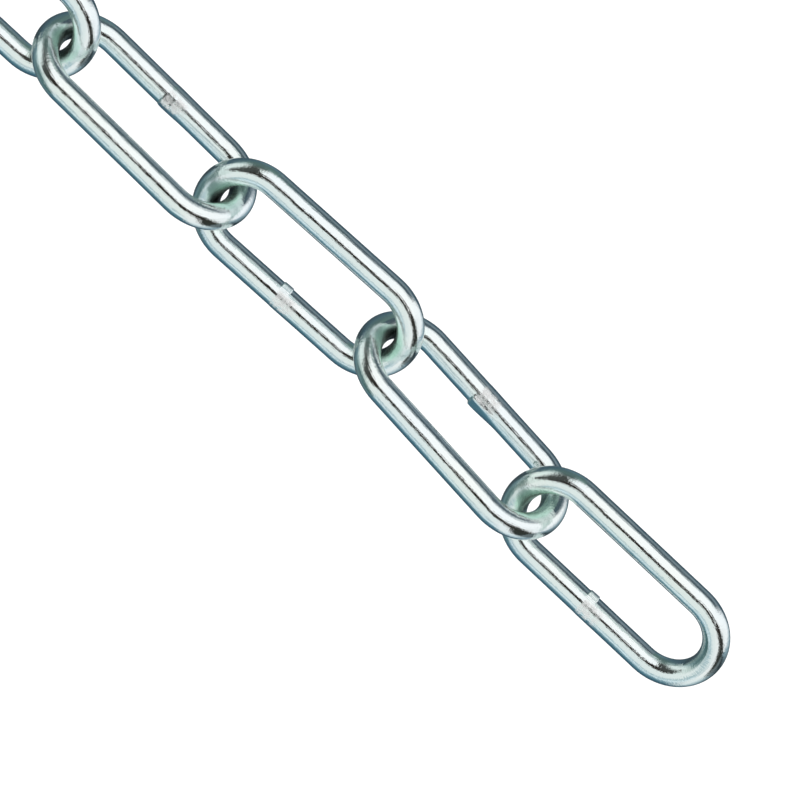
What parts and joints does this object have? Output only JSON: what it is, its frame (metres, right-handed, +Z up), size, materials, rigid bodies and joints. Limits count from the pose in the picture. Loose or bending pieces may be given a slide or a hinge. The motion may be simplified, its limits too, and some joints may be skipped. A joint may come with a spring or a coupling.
{
  "type": "steel chain",
  "caption": "Straight run of bright zinc plated long link steel chain, welded links of round wire, loose enough to bend at every link.",
  "frame": {"origin": "middle of the chain's length and width, on the floor that it lies on", "axes": "+X along the chain towards link_01, the end the picture shows; +Z up from the floor"},
  "size_m": [0.9798, 0.0192, 0.0126],
  "materials": {
    "bright_zinc": "bright zinc plating, nearly polished, with a faint cool green tint"
  },
  "bodies": {
    "link_01": {"link_01": "bright_zinc"},
    "link_02": {"link_02": "bright_zinc"},
    "link_03": {"link_03": "bright_zinc"},
    "link_04": {"link_04": "bright_zinc"},
    "link_05": {"link_05": "bright_zinc"},
    "link_06": {"link_06": "bright_zinc"},
    "link_07": {"link_07": "bright_zinc"},
    "link_08": {"link_08": "bright_zinc"},
    "link_09": {"link_09": "bright_zinc"},
    "link_10": {"link_10": "bright_zinc"},
    "link_11": {"link_11": "bright_zinc"},
    "link_12": {"link_12": "bright_zinc"},
    "link_13": {"link_13": "bright_zinc"},
    "link_14": {"link_14": "bright_zinc"},
    "link_15": {"link_15": "bright_zinc"},
    "link_16": {"link_16": "bright_zinc"},
    "link_17": {"link_17": "bright_zinc"},
    "link_18": {"link_18": "bright_zinc"},
    "link_19": {"link_19": "bright_zinc"},
    "link_20": {"link_20": "bright_zinc"},
    "link_21": {"link_21": "bright_zinc"},
    "link_22": {"link_22": "bright_zinc"},
    "link_23": {"link_23": "bright_zinc"},
    "link_24": {"link_24": "bright_zinc"},
    "link_25": {"link_25": "bright_zinc"},
    "link_26": {"link_26": "bright_zinc"},
    "link_27": {"link_27": "bright_zinc"},
    "link_28": {"link_28": "bright_zinc"},
    "link_29": {"link_29": "bright_zinc"},
    "link_30": {"link_30": "bright_zinc"},
    "link_31": {"link_31": "bright_zinc"}
  },
  "joints": [
    {"name": "swing_15", "type": "hinge", "parent": "link_16", "child": "link_15", "pos_m": [0.0183, -0.0025, 0.00628], "axis": [0.0294, -0.6228, 0.7818], "range_deg": [-100, 100]},
    {"name": "swing_17", "type": "hinge", "parent": "link_16", "child": "link_17", "pos_m": [-0.01766, -0.0008, 0.00628], "axis": [-0.0294, 0.6228, -0.7818], "range_deg": [-100, 100]},
    {"name": "swing_14", "type": "hinge", "parent": "link_15", "child": "link_14", "pos_m": [0.04965, -0.0005, 0.00628], "axis": [0.0294, 0.6228, 0.7818], "range_deg": [-100, 100]},
    {"name": "swing_18", "type": "hinge", "parent": "link_17", "child": "link_18", "pos_m": [-0.049, -0.0022, 0.00628], "axis": [0.0294, 0.6228, 0.7818], "range_deg": [-100, 100]},
    {"name": "swing_13", "type": "hinge", "parent": "link_14", "child": "link_13", "pos_m": [0.081, -0.0025, 0.00628], "axis": [-0.0294, 0.6228, -0.7818], "range_deg": [-100, 100]},
    {"name": "swing_19", "type": "hinge", "parent": "link_18", "child": "link_19", "pos_m": [-0.08035, -0.0008, 0.00628], "axis": [0.0294, -0.6228, 0.7818], "range_deg": [-100, 100]},
    {"name": "swing_12", "type": "hinge", "parent": "link_13", "child": "link_12", "pos_m": [0.11235, -0.0005, 0.00628], "axis": [-0.0294, -0.6228, -0.7818], "range_deg": [-100, 100]},
    {"name": "swing_20", "type": "hinge", "parent": "link_19", "child": "link_20", "pos_m": [-0.1117, -0.0022, 0.00628], "axis": [-0.0294, -0.6228, -0.7818], "range_deg": [-100, 100]},
    {"name": "swing_11", "type": "hinge", "parent": "link_12", "child": "link_11", "pos_m": [0.1437, -0.0025, 0.00628], "axis": [0.0294, -0.6228, 0.7818], "range_deg": [-100, 100]},
    {"name": "swing_21", "type": "hinge", "parent": "link_20", "child": "link_21", "pos_m": [-0.14305, -0.0008, 0.00628], "axis": [-0.0294, 0.6228, -0.7818], "range_deg": [-100, 100]},
    {"name": "swing_10", "type": "hinge", "parent": "link_11", "child": "link_10", "pos_m": [0.17505, -0.0005, 0.00628], "axis": [0.0294, 0.6228, 0.7818], "range_deg": [-100, 100]},
    {"name": "swing_22", "type": "hinge", "parent": "link_21", "child": "link_22", "pos_m": [-0.17441, -0.0022, 0.00628], "axis": [0.0294, 0.6228, 0.7818], "range_deg": [-100, 100]},
    {"name": "swing_09", "type": "hinge", "parent": "link_10", "child": "link_09", "pos_m": [0.20641, -0.0025, 0.00628], "axis": [-0.0294, 0.6228, -0.7818], "range_deg": [-100, 100]},
    {"name": "swing_23", "type": "hinge", "parent": "link_22", "child": "link_23", "pos_m": [-0.20575, -0.0008, 0.00628], "axis": [0.0294, -0.6228, 0.7818], "range_deg": [-100, 100]},
    {"name": "swing_08", "type": "hinge", "parent": "link_09", "child": "link_08", "pos_m": [0.23775, -0.0005, 0.00628], "axis": [-0.0294, -0.6228, -0.7818], "range_deg": [-100, 100]},
    {"name": "swing_24", "type": "hinge", "parent": "link_23", "child": "link_24", "pos_m": [-0.23711, -0.0022, 0.00628], "axis": [-0.0294, -0.6228, -0.7818], "range_deg": [-100, 100]},
    {"name": "swing_07", "type": "hinge", "parent": "link_08", "child": "link_07", "pos_m": [0.2691, -0.0025, 0.00628], "axis": [0.0294, -0.6228, 0.7818], "range_deg": [-100, 100]},
    {"name": "swing_25", "type": "hinge", "parent": "link_24", "child": "link_25", "pos_m": [-0.26845, -0.0008, 0.00628], "axis": [-0.0294, 0.6228, -0.7818], "range_deg": [-100, 100]},
    {"name": "swing_06", "type": "hinge", "parent": "link_07", "child": "link_06", "pos_m": [0.30046, -0.0005, 0.00628], "axis": [0.0294, 0.6228, 0.7818], "range_deg": [-100, 100]},
    {"name": "swing_26", "type": "hinge", "parent": "link_25", "child": "link_26", "pos_m": [-0.2998, -0.0022, 0.00628], "axis": [0.0294, 0.6228, 0.7818], "range_deg": [-100, 100]},
    {"name": "swing_05", "type": "hinge", "parent": "link_06", "child": "link_05", "pos_m": [0.33181, -0.0025, 0.00628], "axis": [-0.0294, 0.6228, -0.7818], "range_deg": [-100, 100]},
    {"name": "swing_27", "type": "hinge", "parent": "link_26", "child": "link_27", "pos_m": [-0.33115, -0.0008, 0.00628], "axis": [0.0294, -0.6228, 0.7818], "range_deg": [-100, 100]},
    {"name": "swing_04", "type": "hinge", "parent": "link_05", "child": "link_04", "pos_m": [0.36316, -0.0005, 0.00628], "axis": [0.012, -0.6234, -0.7818], "range_deg": [-100, 100]},
    {"name": "swing_28", "type": "hinge", "parent": "link_27", "child": "link_28", "pos_m": [-0.36251, -0.0022, 0.00628], "axis": [-0.0294, -0.6228, -0.7818], "range_deg": [-100, 100]},
    {"name": "swing_03", "type": "hinge", "parent": "link_04", "child": "link_03", "pos_m": [0.39452, -0.0001, 0.00628], "axis": [0.0402, -0.6222, 0.7818], "range_deg": [-100, 100]},
    {"name": "swing_29", "type": "hinge", "parent": "link_28", "child": "link_29", "pos_m": [-0.39386, -0.0008, 0.00628], "axis": [-0.0294, 0.6228, -0.7818], "range_deg": [-100, 100]},
    {"name": "swing_02", "type": "hinge", "parent": "link_03", "child": "link_02", "pos_m": [0.42584, 0.00256, 0.00628], "axis": [0.025, 0.623, 0.7818], "range_deg": [-100, 100]},
    {"name": "swing_30", "type": "hinge", "parent": "link_29", "child": "link_30", "pos_m": [-0.4252, -0.0022, 0.00628], "axis": [0.0294, 0.6228, 0.7818], "range_deg": [-100, 100]},
    {"name": "swing_01", "type": "hinge", "parent": "link_02", "child": "link_01", "pos_m": [0.45721, 0.00058, 0.00628], "axis": [-0.025, 0.623, -0.7818], "range_deg": [-100, 100]},
    {"name": "swing_31", "type": "hinge", "parent": "link_30", "child": "link_31", "pos_m": [-0.45655, -0.0008, 0.00628], "axis": [0.0294, -0.6228, 0.7818], "range_deg": [-100, 100]}
  ]
}
